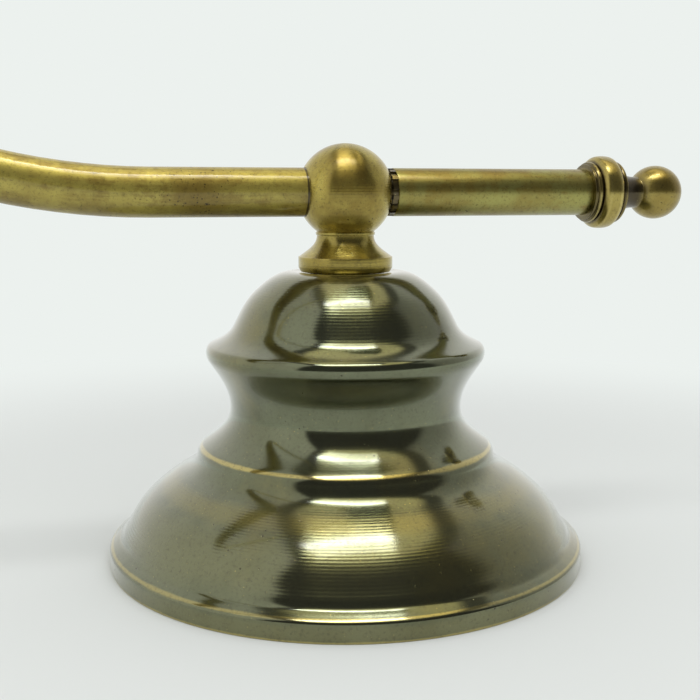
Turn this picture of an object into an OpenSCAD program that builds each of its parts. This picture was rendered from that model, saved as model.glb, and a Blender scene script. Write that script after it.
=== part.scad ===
// Wall lamp in antique brass: stepped bell canopy, ball knuckle, swan-neck arm with turned tail, bell shade.
// It stands on its wall face: +Z points away from the wall and the rod through the ball lies along X.
// Lengths are in millimetres and angles in degrees. A knot is [radius, height, heading of the curve].

/* [Canopy] */
// Diameter of the rim at the wall
rim_d = 120; // [116:1:130]
// Height of the upright rim band
rim_h = 4; // [3:0.5:5]
// Bevel between the rim band and the bell
rim_lip = 1.3; // [0.8:0.1:1.8]
// Diameter at the foot of the lower bell
bell_d = 109; // [105:0.5:112]
// Height at the foot of the lower bell
bell_z = 10.8; // [9.5:0.1:12]
// Diameter where the lower bell runs into the small step
ledge_d = 88; // [84:0.5:92]
// Height where the lower bell runs into the small step
ledge_z = 21; // [19.5:0.1:22.5]
// Diameter of the small step
step_d = 75.4; // [73:0.2:79]
// Height of the small step's upright face
step_z = 27; // [25.5:0.1:28]
// Diameter above the rounded edge of the step
brow_d = 70; // [66:0.5:72]
// Height above the rounded edge of the step
brow_z = 30.1; // [29:0.1:32]
// Diameter of the waist
waist_d = 58.6; // [50:0.2:63]
// Height of the waist
waist_z = 38.3; // [36:0.1:41]
// Diameter where the waist has flared out below the shoulder
flare_d = 68.4; // [66:0.2:69.5]
// Height where the waist has flared out below the shoulder
flare_z = 49.8; // [47:0.1:50.5]
// Diameter of the shoulder
shoulder_d = 70.4; // [70:0.2:74]
// Height of the shoulder
shoulder_z = 52.3; // [51.5:0.1:53]
// Diameter of the shelf on top of the shoulder
shelf_d = 68.2; // [66:0.2:69]
// Height of the shelf on top of the shoulder
shelf_z = 54.3; // [53.8:0.1:55]
// Diameter at the foot of the dome
dome_d = 56.4; // [52:0.2:60]
// Height at the foot of the dome
dome_z = 58.9; // [57.5:0.1:60.5]
// Diameter where the dome turns over
crown_d = 44.8; // [41:0.2:48]
// Height where the dome turns over
crown_z = 67.7; // [66:0.1:68.5]
// Diameter of the brim round the dished seat
brim_d = 26.8; // [25.6:0.2:29]
// Height of the brim round the dished seat
brim_z = 72.3; // [71.8:0.1:73]
// Height of the seat in the middle of the dish
canopy_h = 70.9; // [70.4:0.1:71.4]
// Thickness of the spun sheet
sheet = 0.9; // [0.6:0.1:1.2]

/* [Knuckle] */
// Diameter of the ball
ball_d = 24; // [23:0.5:28]
// Height of the ball's centre above the canopy's seat
ball_rise = 20.9; // [20.5:0.1:23]
// Distance from the ball's centre to its flat side
ball_flat = 10.5; // [10:0.1:11]
// Diameter of the neck under the ball
neck_d = 14.3; // [13.5:0.1:16]
// Diameter of the foot
foot_d = 23.6; // [22:0.2:28]
// Diameter of the foot's seat on the canopy
foot_seat_d = 11.6; // [11.4:0.2:13]
// Height of the foot's upright face
foot_h = 2.8; // [2.4:0.1:3.2]
// Height of the shallow cone under the foot
foot_cone = 2.1; // [1.8:0.1:2.4]

/* [Rod] */
// Outer diameter of the arm and tail tubes
tube_d = 12; // [11.6:0.2:14]
// Wall of the arm and tail tubes
tube_wall = 1; // [0.8:0.1:1.2]
// Distance from the ball's centre to the end of the tail tube
tail_end = 65.5; // [55:0.5:80]
// Thickness of the toothed washer beside the ball
washer_t = 1.4; // [1:0.1:2]
// Teeth of the toothed washer
washer_teeth = 14; // [8:1:18]

/* [Swan neck] */
// Distance from the ball's centre to the start of the bend
bend_start = 48.2; // [44:0.2:60]
// Radius of the half circle that turns the tube back
bend_r = 156; // [120:1:200]
// Straight length after the half circle
reach = 20; // [14:1:30]

/* [Finial] */
// Diameter of the lip against the tail tube
lip_d = 14.6; // [14:0.2:16]
// Diameter of the bead beside the ring
bead_d = 16.6; // [16:0.2:18]
// Diameter of the ring
ring_d = 19; // [18.4:0.2:22]
// Length of the ring
ring_l = 5.4; // [5:0.2:6]
// Diameter of the thin disc behind the ring
disc_d = 16.6; // [16:0.2:18]
// Diameter of the knob's neck
knob_neck_d = 8.2; // [7.4:0.2:9]
// Diameter of the knob's ball
knob_d = 14.2; // [13:0.2:16]
// Distance from the thin disc to the centre of the knob's ball
knob_reach = 12.4; // [11.6:0.2:14]

/* [Lampholder] */
// Diameter of the holder's cap
cap_d = 41; // [40:0.5:46]
// Length of the holder's cap
cap_l = 31; // [29:0.5:34]
// Wall of the holder's cap and skirt
holder_wall = 1.3; // [1:0.1:1.4]
// Inner diameter of the screw shell
shell_d = 26.5; // [26.4:0.1:26.8]
// Diameter of the skirt's sleeve
skirt_d = 38; // [37.6:0.2:38.2]
// Length of the skirt's sleeve beyond the cap
skirt_l = 29; // [27:0.5:32]
// Diameter of the ring that clamps the shade
shade_ring_d = 46; // [43:0.5:50]
// Diameter of the switch spindle
spindle_d = 4; // [3:0.2:4.6]
// Length of the key's thumb piece
key_l = 16; // [13:0.5:20]

/* [Shade] */
// Diameter of the shade's rim
shade_d = 144; // [136:1:148]
// Depth of the shade
shade_h = 84; // [80:1:92]
// Diameter of the shade's body half way up
shade_body_d = 116; // [108:1:122]
// Diameter of the shade's neck
shade_neck_d = 55; // [53.5:0.5:60]

/* [Bulb] */
// Diameter of the globe
globe_d = 45; // [40:0.5:50]
// Length of the glass beyond its cap
globe_l = 49; // [46:0.5:52]

/* [Wall plate] */
// Length of the mounting bar
bar_l = 100; // [96:1:106]
// Width of the mounting bar
bar_w = 20; // [18:0.5:24]
// Thickness of the mounting bar
bar_t = 2.5; // [2:0.1:4]
// Distance between the two screw slots
slot_pitch = 80; // [78:1:82]
// Length of each screw slot
slot_l = 14; // [10:0.5:15]
// Width of each screw slot
slot_w = 5; // [4:0.2:6]
// Diameter of the threaded mounting tube
nipple_d = 10; // [9.6:0.2:10.4]
// Wall of the threaded tubes
nipple_wall = 1.5; // [1.2:0.1:1.6]
// Width of the hexagon nuts across their flats
nut_af = 14; // [13.6:0.2:16]
// Height of the hexagon nuts
nut_h = 5; // [4:0.5:6]
// Diameter of the washer under the canopy's seat
seat_washer_d = 17.6; // [16:0.2:18]
// Diameter of the inner two-core lead
lead_d = 4.8; // [4:0.1:5]

/* [Hidden] */
$fn = 96;

// Clearances: bodies that pass each other, a turning fit, and pieces of one body that screw together
pass_gap = 0.3;
run_gap = 0.05;
screw_gap = 0.02;
// Overrun of a cutting tool past the face that it opens
over = 1;

// Places along the canopy's axis and along the rod
rod_z = canopy_h + ball_rise;
nipple_r = nipple_d / 2;
tube_r = tube_d / 2;
tube_in_r = tube_r - tube_wall;
pivot_r = tube_in_r - screw_gap;
lead_r = lead_d / 2;
socket_depth = 1.6;
arm_x = ball_flat - socket_depth + pass_gap;
tail_x = ball_flat + pass_gap + washer_t;
nipple_top = rod_z - pivot_r - run_gap - pass_gap;
nipple_bore_r = nipple_r - nipple_wall;
pivot_bore_r = pivot_r - nipple_wall;
pivot_grip = 14;
lead_slack = 2;

// Height of the lampholder's axis, and the end of the arm along it
holder_z = rod_z + 2 * bend_r;
arm_end = reach - bend_start;

// Places along the lampholder, from the end of the arm
boss_r = 8;
boss_l = 6;
boss_edge = 0.4;
nipple_proud = 2;
cap_r = cap_d / 2;
cap_shoulder = 17;
spindle_at = 20.5;
spindle_r = spindle_d / 2;
housing_r = 14;
housing_back = 5.5;
housing_fore = 3.5;
housing_from = spindle_at - housing_back;
insert_from = spindle_at + housing_fore;
insert_l = 14;
insert_front = insert_from + insert_l;
flange_t = 2;
flange_proud = 1.6;
skirt_r = skirt_d / 2;
skirt_in_r = skirt_r - holder_wall;
insert_r = skirt_in_r - screw_gap;
shade_seat = cap_l + flange_t;
shell_in_r = shell_d / 2;
shell_wall = 0.5;
shell_end = cap_l + skirt_l;
contact_r = 4;
contact_t = 1;
button_r = 2.6;
button_h = 2.4;
contact_top = insert_front + button_h;
bulb_slack = 0.15;
bulb_r = shell_in_r - bulb_slack;
bulb_proud = 2;
bulb_rim = shell_end + bulb_proud;
bulb_cap_l = 17;
tip_r = 4.4;
tip_t = 1.2;
tip_top = contact_top + screw_gap + tip_t;
bulb_neck_r = bulb_r - shell_wall - screw_gap;
glass_in = 5;
glass_t = 0.8;

// Outline of the canopy's outer face, from the rim up to its seat, with a narrow rim round the knuckle's foot
seat_rim = 0.5;
canopy_knots = [
    [rim_d / 2, 0, 90], [rim_d / 2, rim_h, 90], [rim_d / 2 - rim_lip, rim_h + rim_lip, 135],
    [bell_d / 2, bell_z, 119], [ledge_d / 2, ledge_z, 147], [step_d / 2, step_z, 97],
    [brow_d / 2, brow_z, 138], [waist_d / 2, waist_z, 90], [flare_d / 2, flare_z, 55],
    [shoulder_d / 2, shoulder_z, 90], [shelf_d / 2, shelf_z, 155], [dome_d / 2, dome_z, 117],
    [crown_d / 2, crown_z, 138], [brim_d / 2, brim_z, 180], [foot_seat_d / 2 + seat_rim, canopy_h, 190]
];

// Outline of the shade's outer face, from its rim up to its seat on the holder
shade_rim = 2;
shade_lip = 1.8;
shade_flare = 6.5;
shade_flare_h = 14;
shade_cove = 2.5;
shade_cove_h = 11;
shade_brow = 13;
shade_brow_h = 18;
shade_neck_h = 6;
shade_top = 3;
shade_knots = [
    [shade_d / 2, 0, 90], [shade_d / 2, shade_rim, 90], [shade_d / 2 - shade_lip, shade_rim + shade_lip, 130],
    [shade_d / 2 - shade_flare, shade_flare_h, 107], [shade_body_d / 2, shade_h / 2, 113],
    [shade_neck_d / 2 + shade_brow, shade_h - shade_brow_h, 148],
    [shade_neck_d / 2 + shade_cove, shade_h - shade_cove_h, 132],
    [shade_neck_d / 2, shade_h - shade_neck_h, 92], [shade_neck_d / 2 - shade_top, shade_h, 178]
];

// Colours as the lamp shows them
brass_dark = [0.42, 0.40, 0.29];
brass_warm = [0.62, 0.51, 0.24];
steel = [0.66, 0.67, 0.68];
porcelain = [0.93, 0.92, 0.88];
black = [0.08, 0.08, 0.08];
clear = [0.85, 0.90, 0.92, 0.4];

function unit(a) = [cos(a), sin(a)];
function flip(p) = [for (i = [len(p) - 1 : -1 : 0]) p[i]];
// Point at t on the cubic through p and q with the handles c and d
function cubic(p, c, d, q, t) =
    pow(1 - t, 3) * p + 3 * pow(1 - t, 2) * t * c + 3 * (1 - t) * t * t * d + pow(t, 3) * q;
// Points from knot a up to knot b, without b
function stretch(a, b, n) =
    let (p = [a.x, a.y], q = [b.x, b.y], h = 0.36 * norm(q - p))
    [for (i = [0 : n - 1]) cubic(p, p + h * unit(a[2]), q - h * unit(b[2]), q, i / n)];
// Smooth outline through knots
function outline(k, n = 6) = concat(
    [for (i = [0 : len(k) - 2]) each stretch(k[i], k[i + 1], n)],
    [[k[len(k) - 1].x, k[len(k) - 1].y]]
);
// Knots moved square to the curve, towards its left side
function moved(k, t) = [for (p = k) concat([p.x, p.y] + t * unit(p[2] + 90), p[2])];

// Hollow round sheet with a hole in its top
module spun(knots, t, hole_r) {
    top = knots[len(knots) - 1].y;
    inner = [for (k = moved(knots, t)) [k.x, max(k.y, 0), k[2]]];
    rotate_extrude() polygon(concat(
        outline(knots), [[hole_r, top], [hole_r, top - t]], flip(outline(inner))
    ));
}

module ring(r_out, r_in, h) {
    difference() {
        cylinder(r = r_out, h = h);
        translate([0, 0, -over]) cylinder(r = r_in, h = h + 2 * over);
    }
}

module hex_nut(bore_r) {
    difference() {
        cylinder(d = nut_af / cos(30), h = nut_h, $fn = 6);
        translate([0, 0, -over]) cylinder(r = bore_r, h = nut_h + 2 * over);
    }
}

// Turns local +Z into +X at the height of the rod
module along_rod(x) {
    translate([x, 0, rod_z]) rotate([0, 90, 0]) children();
}

// Local +Z runs out of the arm's end, along the lampholder
module at_holder() {
    translate([arm_end, 0, holder_z]) rotate([0, 90, 0]) children();
}

// Round bar along the arm's centre line, from x = -from to past the arm's end
module arm_run(r, from, past) {
    along_rod(-bend_start) cylinder(r = r, h = bend_start - from);
    translate([-bend_start, 0, rod_z + bend_r]) rotate([-90, 90, 0])
        rotate_extrude(angle = 180) translate([bend_r, 0]) circle(r = r);
    at_holder() translate([0, 0, -reach]) cylinder(r = r, h = reach + past);
}

module canopy_shell() {
    color(brass_dark) spun(canopy_knots, sheet, nipple_r + pass_gap);
}

module mounting_bar() {
    color(steel) difference() {
        intersection() {
            translate([-bar_l / 2, -bar_w / 2, 0]) cube([bar_l, bar_w, bar_t]);
            cylinder(d = bar_l, h = bar_t);
        }
        translate([0, 0, -over]) cylinder(r = nipple_r + screw_gap, h = bar_t + 2 * over);
        translate([earth_at, 0, -over]) cylinder(r = earth_r + screw_gap, h = bar_t + 2 * over);
        for (side = [-1, 1]) translate([side * slot_pitch / 2, 0, -over]) slot();
    }
}

module slot() {
    span = slot_l - slot_w;
    for (end = [-1, 1]) translate([end * span / 2, 0, 0]) cylinder(d = slot_w, h = bar_t + 2 * over);
    translate([-span / 2, -slot_w / 2, 0]) cube([span, slot_w, bar_t + 2 * over]);
}

// The lead leaves the mounting tube through a window and drops into the terminal block
lead_turn = 10;
block_h = 13;
block_gap = 2;
block_x = 2 * lead_turn;
lead_out_z = bar_t + block_h + lead_turn + block_gap;
lead_bend_z = lead_out_z + lead_turn;

module mounting_nipple() {
    color(steel) difference() {
        cylinder(r = nipple_r, h = nipple_top);
        translate([0, 0, -over]) cylinder(r = nipple_bore_r, h = nipple_top + 2 * over);
        translate([0, -lead_r - pass_gap, lead_out_z - lead_r - pass_gap])
            cube([nipple_d, lead_d + 2 * pass_gap, lead_turn + lead_r + 2 * pass_gap]);
    }
}

module bar_nut() {
    color(steel) translate([0, 0, bar_t]) hex_nut(nipple_r + screw_gap);
}

// The washer bears on the lowest part of the dish's underside that lies within its edge
seat_washer_t = 1.2;
dish = moved([for (i = [2, 1]) canopy_knots[len(canopy_knots) - i]], sheet);
washer_top = min(canopy_h - sheet, lookup(seat_washer_d / 2, outline(dish)));

module seat_washer() {
    color(steel) translate([0, 0, washer_top - seat_washer_t])
        ring(seat_washer_d / 2, nipple_r + screw_gap, seat_washer_t);
}

module seat_nut() {
    color(steel) translate([0, 0, washer_top - seat_washer_t - nut_h]) hex_nut(nipple_r + screw_gap);
}

// Two-pole terminal block: a base with a raised tower on each pole, and the lead between the towers
tower_r = 3.4;
tower_gap = 0.8;
pole_pitch = lead_d + 2 * tower_r + tower_gap;
base_l = 16;
base_w = pole_pitch + 2 * tower_r + tower_gap;
base_h = 8.5;
wire_hole_r = 1.6;
wire_hole_z = 4;
pole_screw_r = 1.5;
pole_screw_z = 6;
pole_screw_l = 5.5;

module at_poles() {
    for (side = [-1, 1]) translate([block_x, side * pole_pitch / 2, bar_t]) children();
}

module terminal_block() {
    color(porcelain) difference() {
        union() {
            translate([block_x - base_l / 2, -base_w / 2, bar_t]) cube([base_l, base_w, base_h]);
            at_poles() cylinder(r = tower_r, h = block_h);
        }
        at_poles() translate([0, 0, pole_screw_z]) cylinder(r = pole_screw_r + screw_gap, h = block_h);
        at_poles() translate([-base_l / 2 - over, 0, wire_hole_z]) rotate([0, 90, 0])
            cylinder(r = wire_hole_r, h = base_l + 2 * over);
    }
}

module terminal_screws() {
    slot_depth = 0.8;
    slot_width = 0.5;
    color(brass_warm) at_poles() translate([0, 0, pole_screw_z]) difference() {
        cylinder(r = pole_screw_r, h = pole_screw_l);
        translate([-2 * pole_screw_r, -slot_width / 2, pole_screw_l - slot_depth])
            cube([4 * pole_screw_r, slot_width, 2 * slot_depth]);
    }
}

earth_at = -20;
earth_r = 2;
earth_head_r = 4;
earth_head_h = 2.4;
earth_slot = 1;
earth_washer_r = 5;
earth_washer_t = 1;

module earth_washer() {
    color(brass_warm) translate([earth_at, 0, bar_t])
        ring(earth_washer_r, earth_r + screw_gap, earth_washer_t);
}

module earth_screw() {
    head_z = bar_t + earth_washer_t;
    color(brass_warm) translate([earth_at, 0, 0]) difference() {
        union() {
            translate([0, 0, pass_gap]) cylinder(r = earth_r, h = head_z);
            translate([0, 0, head_z]) cylinder(r = earth_head_r, h = earth_head_h);
        }
        translate([-earth_head_r - over, -earth_slot / 2, head_z + earth_head_h - earth_slot])
            cube([2 * (earth_head_r + over), earth_slot, 2 * earth_slot]);
    }
}

module canopy_lead() {
    top = rod_z - lead_r - pass_gap;
    color(black) {
        translate([0, 0, lead_bend_z]) cylinder(r = lead_r, h = top - lead_bend_z);
        translate([lead_turn, 0, lead_bend_z]) rotate([90, 180, 0])
            rotate_extrude(angle = 90) translate([lead_turn, 0]) circle(r = lead_r);
        translate([lead_turn, 0, lead_out_z - lead_turn]) rotate([90, 0, 0])
            rotate_extrude(angle = 90) translate([lead_turn, 0]) circle(r = lead_r);
        translate([block_x, 0, bar_t + base_h])
            cylinder(r = lead_r, h = lead_out_z - lead_turn - bar_t - base_h);
    }
}

// Foot and neck below the ball, as a turned outline
foot_z = canopy_h + pass_gap;
neck_z = rod_z - sqrt(pow(ball_d / 2, 2) - pow(neck_d / 2, 2));
foot_top = foot_z + foot_cone + foot_h;
neck_bead = 0.25;
neck_bead_h = 1;
foot_edge = 0.2;

module knuckle_form() {
    flare = [[foot_d / 2 - 2 * foot_edge, foot_top, 142], [neck_d / 2, neck_z - neck_bead_h, 90]];
    translate([0, 0, rod_z]) sphere(d = ball_d);
    rotate_extrude() polygon(concat(
        [[0, foot_z], [foot_seat_d / 2, foot_z], [foot_d / 2, foot_z + foot_cone]],
        [[foot_d / 2, foot_top - foot_edge]], outline(flare, 8),
        [[neck_d / 2 + neck_bead, neck_z - neck_bead_h + neck_bead]],
        [[neck_d / 2 + neck_bead, neck_z - neck_bead], [neck_d / 2, neck_z], [0, neck_z]]
    ));
}

module knuckle() {
    color(brass_warm) difference() {
        knuckle_form();
        for (side = [-1, 1]) along_rod(0) translate([0, 0, side * (ball_flat + ball_d / 2)])
            cube(ball_d, center = true);
        along_rod(-ball_d) cylinder(r = pivot_r + run_gap, h = 2 * ball_d);
        along_rod(-ball_d) cylinder(r = tube_r + run_gap, h = ball_d - ball_flat + socket_depth);
        cylinder(r = nipple_r + run_gap, h = rod_z);
    }
}

module arm_tube() {
    color(brass_warm) difference() {
        arm_run(tube_r, arm_x, 0);
        arm_run(tube_in_r, arm_x - over, over);
    }
}

// Threaded tube through the ball, with a window below for the lead over the whole swing
module pivot_nipple() {
    window = 2 * (lead_r + lead_slack);
    color(steel) along_rod(0) difference() {
        translate([0, 0, -arm_x - pivot_grip]) cylinder(r = pivot_r, h = arm_x + tail_x + 2 * pivot_grip);
        translate([0, 0, -arm_x - pivot_grip - over])
            cylinder(r = pivot_bore_r, h = arm_x + tail_x + 2 * pivot_grip + 2 * over);
        translate([-lead_r - pass_gap, -tube_r, -window / 2]) cube([2 * tube_r, tube_d, window]);
    }
}

module star_washer() {
    tooth = [1.1, 1.1, washer_t];
    inset = 0.1;
    core_r = (pivot_r + tube_r) / 2;
    color(steel) along_rod(tail_x - washer_t) difference() {
        union() {
            cylinder(r = core_r, h = washer_t);
            for (i = [0 : washer_teeth - 1]) rotate([0, 0, i * 360 / washer_teeth])
                translate([tube_r - inset - tooth.x, -tooth.y / 2, 0]) cube(tooth);
        }
        translate([0, 0, -over]) cylinder(r = pivot_r + screw_gap, h = washer_t + 2 * over);
    }
}

module tail_tube() {
    color(brass_warm) along_rod(tail_x) ring(tube_r, tube_in_r, tail_end - tail_x);
}

// Turned outline of the finial's collar along the rod, from the tail tube's end
spigot_l = 9;
stud_r = 2.5;
lip_l = 0.7;
lip_edge = 0.3;
bead_l = 1.2;
bead_crown = 0.6;
ring_crown = 1.2;
disc_l = 1.1;
disc_crown = 0.4;
cove = 0.35;
cove_l = 0.3;
ring_from = lip_l + bead_l + cove_l;
disc_from = ring_from + ring_l + cove_l;
collar_l = disc_from + disc_l;

module finial_collar() {
    bead_r = bead_d / 2 - bead_crown;
    band_r = ring_d / 2 - ring_crown;
    disc_r = disc_d / 2 - disc_crown;
    bead = [[bead_r, lip_l, 40], [bead_r, lip_l + bead_l, 140]];
    band = [[band_r, ring_from, 60], [ring_d / 2, ring_from + ring_l / 2, 90],
        [band_r, ring_from + ring_l, 120]];
    disc = [[disc_r, disc_from, 35], [disc_r, disc_from + disc_l, 145]];
    color(brass_warm) along_rod(tail_end) difference() {
        union() {
            translate([0, 0, -spigot_l]) cylinder(r = pivot_r, h = spigot_l + over);
            rotate_extrude() polygon(concat(
                [[0, 0], [lip_d / 2 - lip_edge, 0], [lip_d / 2, lip_edge], [lip_d / 2, lip_l]], outline(bead),
                [[bead_r - cove, ring_from - cove_l / 2]], outline(band),
                [[disc_r - cove, disc_from - cove_l / 2]], outline(disc), [[0, collar_l]]
            ));
        }
        translate([0, 0, -spigot_l - over])
            cylinder(r = stud_r + screw_gap, h = spigot_l + collar_l + 2 * over);
    }
}

// Turned outline of the finial's knob
knob_flare = 1.5;
knob_base_l = 0.4;
knob_throat = 1.2;
stud_gap = 2;

module finial_knob() {
    neck_end = knob_reach - sqrt(pow(knob_d / 2, 2) - pow(knob_neck_d / 2, 2));
    base_r = knob_neck_d / 2 + knob_flare;
    scotia = [[base_r, knob_base_l, 115], [knob_neck_d / 2, neck_end - knob_throat, 92]];
    color(brass_warm) along_rod(tail_end + collar_l) {
        translate([0, 0, knob_reach]) sphere(d = knob_d);
        translate([0, 0, stud_gap - collar_l - spigot_l]) cylinder(r = stud_r, h = collar_l + spigot_l);
        rotate_extrude() polygon(concat(
            [[0, 0], [base_r, 0]], outline(scotia), [[knob_neck_d / 2, neck_end], [0, neck_end]]
        ));
    }
}

module arm_lead() {
    color(black) arm_run(lead_r, -lead_r, housing_from);
}

module holder_nipple() {
    color(steel) at_holder() translate([0, 0, -pivot_grip])
        ring(pivot_r, pivot_bore_r, pivot_grip + boss_l + nipple_proud);
}

module holder_cap() {
    face = [[boss_r, boss_l, 88], [cap_r, cap_shoulder, 90]];
    hollow = moved(face, holder_wall);
    color(brass_warm) at_holder() difference() {
        rotate_extrude() polygon(concat(
            [[pivot_r + screw_gap, 0], [boss_r - boss_edge, 0], [boss_r, boss_edge]],
            outline(face, 10), [[cap_r, cap_l]],
            [[cap_r - holder_wall, cap_l]], flip(outline(hollow, 10)), [[pivot_r + screw_gap, boss_l]]
        ));
        translate([0, 0, spindle_at]) rotate([90, 0, 0]) cylinder(r = spindle_r + pass_gap, h = cap_d);
    }
}

module switch_housing() {
    color(black) at_holder() difference() {
        translate([0, 0, housing_from]) cylinder(r = housing_r, h = insert_from - housing_from);
        translate([0, 0, spindle_at]) rotate([90, 0, 0]) cylinder(r = spindle_r + run_gap, h = cap_d);
    }
}

module holder_insert() {
    rim = 3;
    color(porcelain) at_holder() {
        translate([0, 0, insert_from]) cylinder(r = insert_r, h = insert_front - insert_from);
        translate([0, 0, insert_front]) ring(insert_r, shell_in_r + shell_wall + screw_gap, rim);
    }
}

module centre_contact() {
    color(brass_warm) at_holder() translate([0, 0, insert_front]) {
        cylinder(r = contact_r, h = contact_t);
        cylinder(r = button_r, h = button_h);
    }
}

module screw_shell() {
    color(brass_warm) at_holder() translate([0, 0, insert_front])
        ring(shell_in_r + shell_wall, shell_in_r, shell_end - insert_front);
}

module holder_skirt() {
    tuck = 6;
    color(brass_warm) at_holder() difference() {
        union() {
            translate([0, 0, cap_l - tuck])
                cylinder(r = cap_r - holder_wall - screw_gap, h = tuck + flange_t);
            translate([0, 0, cap_l]) cylinder(r = cap_r + flange_proud, h = flange_t);
            translate([0, 0, cap_l]) cylinder(r = skirt_r, h = skirt_l);
        }
        translate([0, 0, cap_l - tuck - over]) cylinder(r = skirt_in_r, h = tuck + skirt_l + 2 * over);
    }
}

module shade() {
    color(brass_dark) at_holder() translate([0, 0, shade_seat + shade_h]) rotate([180, 0, 0])
        spun(shade_knots, sheet, skirt_r + screw_gap);
}

module shade_ring() {
    ring_h = 4.5;
    notches = 24;
    notch_r = 0.7;
    notch_from = 1.2;
    color(brass_warm) at_holder() translate([0, 0, shade_seat + sheet]) difference() {
        ring(shade_ring_d / 2, skirt_r + screw_gap, ring_h);
        for (i = [0 : notches - 1]) rotate([0, 0, i * 360 / notches])
            translate([shade_ring_d / 2, 0, notch_from]) cylinder(r = notch_r, h = ring_h, $fn = 24);
    }
}

module bulb_cap() {
    color(steel) at_holder() translate([0, 0, bulb_rim - bulb_cap_l])
        ring(bulb_r, bulb_r - shell_wall, bulb_cap_l);
}

module bulb_tip() {
    color(steel) at_holder() translate([0, 0, tip_top - tip_t]) cylinder(r = tip_r, h = tip_t);
}

module bulb_insulator() {
    nose_r = tip_r + shell_wall;
    h = bulb_rim - bulb_cap_l - tip_top;
    color(black) at_holder() translate([0, 0, tip_top])
        cylinder(r1 = nose_r, r2 = bulb_r - shell_wall, h = h);
}

module bulb_glass() {
    top = bulb_rim + globe_l;
    globe = [[bulb_neck_r, bulb_rim - glass_in, 90], [bulb_neck_r, bulb_rim + glass_t, 90],
        [globe_d / 2, top - globe_d / 2, 90], [globe_d / 2 * cos(45), top - globe_d / 2 * (1 - sin(45)), 135],
        [0, top, 180]];
    color(clear) at_holder() rotate_extrude()
        polygon(concat(outline(globe, 8), flip(outline(moved(globe, glass_t), 8))));
}

stem_r = 2.6;
stem_top = bulb_rim + 20.5;

module bulb_stem() {
    base = bulb_rim - glass_in;
    color(clear) at_holder() translate([0, 0, base]) {
        cylinder(r = bulb_neck_r - glass_t - screw_gap, h = glass_t);
        cylinder(r = stem_r, h = stem_top - base);
    }
}

module bulb_filament() {
    wire_r = 0.4;
    coil_r = 0.9;
    post = 11;
    spread = 4;
    lean = asin(spread / post);
    color(steel) at_holder() translate([0, 0, stem_top + wire_r * sin(lean) + screw_gap]) {
        for (side = [-1, 1]) rotate([0, side * lean, 0]) cylinder(r = wire_r, h = post, $fn = 24);
        translate([-spread - wire_r, 0, post * cos(lean)]) rotate([0, 90, 0])
            cylinder(r = coil_r, h = 2 * (spread + wire_r), $fn = 24);
    }
}

module at_spindle() {
    at_holder() translate([0, 0, spindle_at]) rotate([90, 0, 0]) children();
}

spindle_from = 3;
key_gap = 2.5;
key_from = cap_r + key_gap;
key_boss_l = 6;
key_boss_wall = 1.6;
key_boss_r = spindle_r + key_boss_wall;
key_sink = 2;

module switch_spindle() {
    color(brass_warm) at_spindle() translate([0, 0, spindle_from])
        cylinder(r = spindle_r, h = key_from + key_boss_l - over - spindle_from);
}

module switch_key() {
    t = 2.6;
    round_r = 5;
    color(brass_warm) at_spindle() translate([0, 0, key_from]) difference() {
        union() {
            cylinder(r = key_boss_r, h = key_boss_l);
            intersection() {
                translate([0, t / 2, key_boss_l + round_r - key_sink]) rotate([90, 0, 0]) {
                    for (side = [-1, 1]) translate([side * (key_l / 2 - round_r), 0, 0])
                        cylinder(r = round_r, h = t);
                    translate([round_r - key_l / 2, -round_r, 0]) cube([key_l - 2 * round_r, 2 * round_r, t]);
                }
                translate([-key_l, -key_l, 0]) cube([2 * key_l, 2 * key_l, 2 * key_l]);
            }
        }
        translate([0, 0, -over]) cylinder(r = spindle_r + screw_gap, h = key_boss_l);
    }
}

canopy_shell();
mounting_bar();
mounting_nipple();
bar_nut();
seat_washer();
seat_nut();
terminal_block();
terminal_screws();
earth_screw();
earth_washer();
canopy_lead();
knuckle();
arm_tube();
pivot_nipple();
star_washer();
tail_tube();
finial_collar();
finial_knob();
arm_lead();
holder_nipple();
holder_cap();
switch_housing();
holder_insert();
centre_contact();
screw_shell();
holder_skirt();
shade();
shade_ring();
bulb_cap();
bulb_tip();
bulb_insulator();
bulb_glass();
bulb_stem();
bulb_filament();
switch_spindle();
switch_key();
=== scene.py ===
"""Wall lamp in antique brass: turned and spun pieces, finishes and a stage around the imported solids."""

import math

import bmesh
import bpy
from bpy.props import FloatProperty, FloatVectorProperty, PointerProperty
from mathutils import Matrix, Vector
from mathutils.geometry import interpolate_bezier


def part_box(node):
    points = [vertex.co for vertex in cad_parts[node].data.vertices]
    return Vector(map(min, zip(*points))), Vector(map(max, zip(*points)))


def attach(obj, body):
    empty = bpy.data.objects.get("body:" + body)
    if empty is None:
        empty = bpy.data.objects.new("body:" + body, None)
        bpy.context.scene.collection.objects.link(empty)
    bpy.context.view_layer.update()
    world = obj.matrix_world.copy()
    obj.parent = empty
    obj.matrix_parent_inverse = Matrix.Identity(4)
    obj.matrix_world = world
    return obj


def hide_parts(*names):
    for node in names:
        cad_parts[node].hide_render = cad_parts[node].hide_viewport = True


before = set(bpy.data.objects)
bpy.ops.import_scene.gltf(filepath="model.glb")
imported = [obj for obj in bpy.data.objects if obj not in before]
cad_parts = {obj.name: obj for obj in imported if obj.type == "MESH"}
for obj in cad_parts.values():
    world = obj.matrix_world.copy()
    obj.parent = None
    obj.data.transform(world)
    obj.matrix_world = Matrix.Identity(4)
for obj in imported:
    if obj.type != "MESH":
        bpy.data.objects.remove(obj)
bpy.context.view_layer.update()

bl_info = {
    "name": "Wall lamp in antique brass",
    "version": (1, 0, 0),
    "blender": (4, 5, 0),
    "location": "View3D > Sidebar > Wall lamp",
    "description": "Dresses the solids of a swan-neck wall lamp with turned pieces, finishes and a stage",
    "category": "Object",
}

# Outlines are drawn in millimetres, as on a shop drawing, and the mesh is in metres
MM = 0.001
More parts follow.
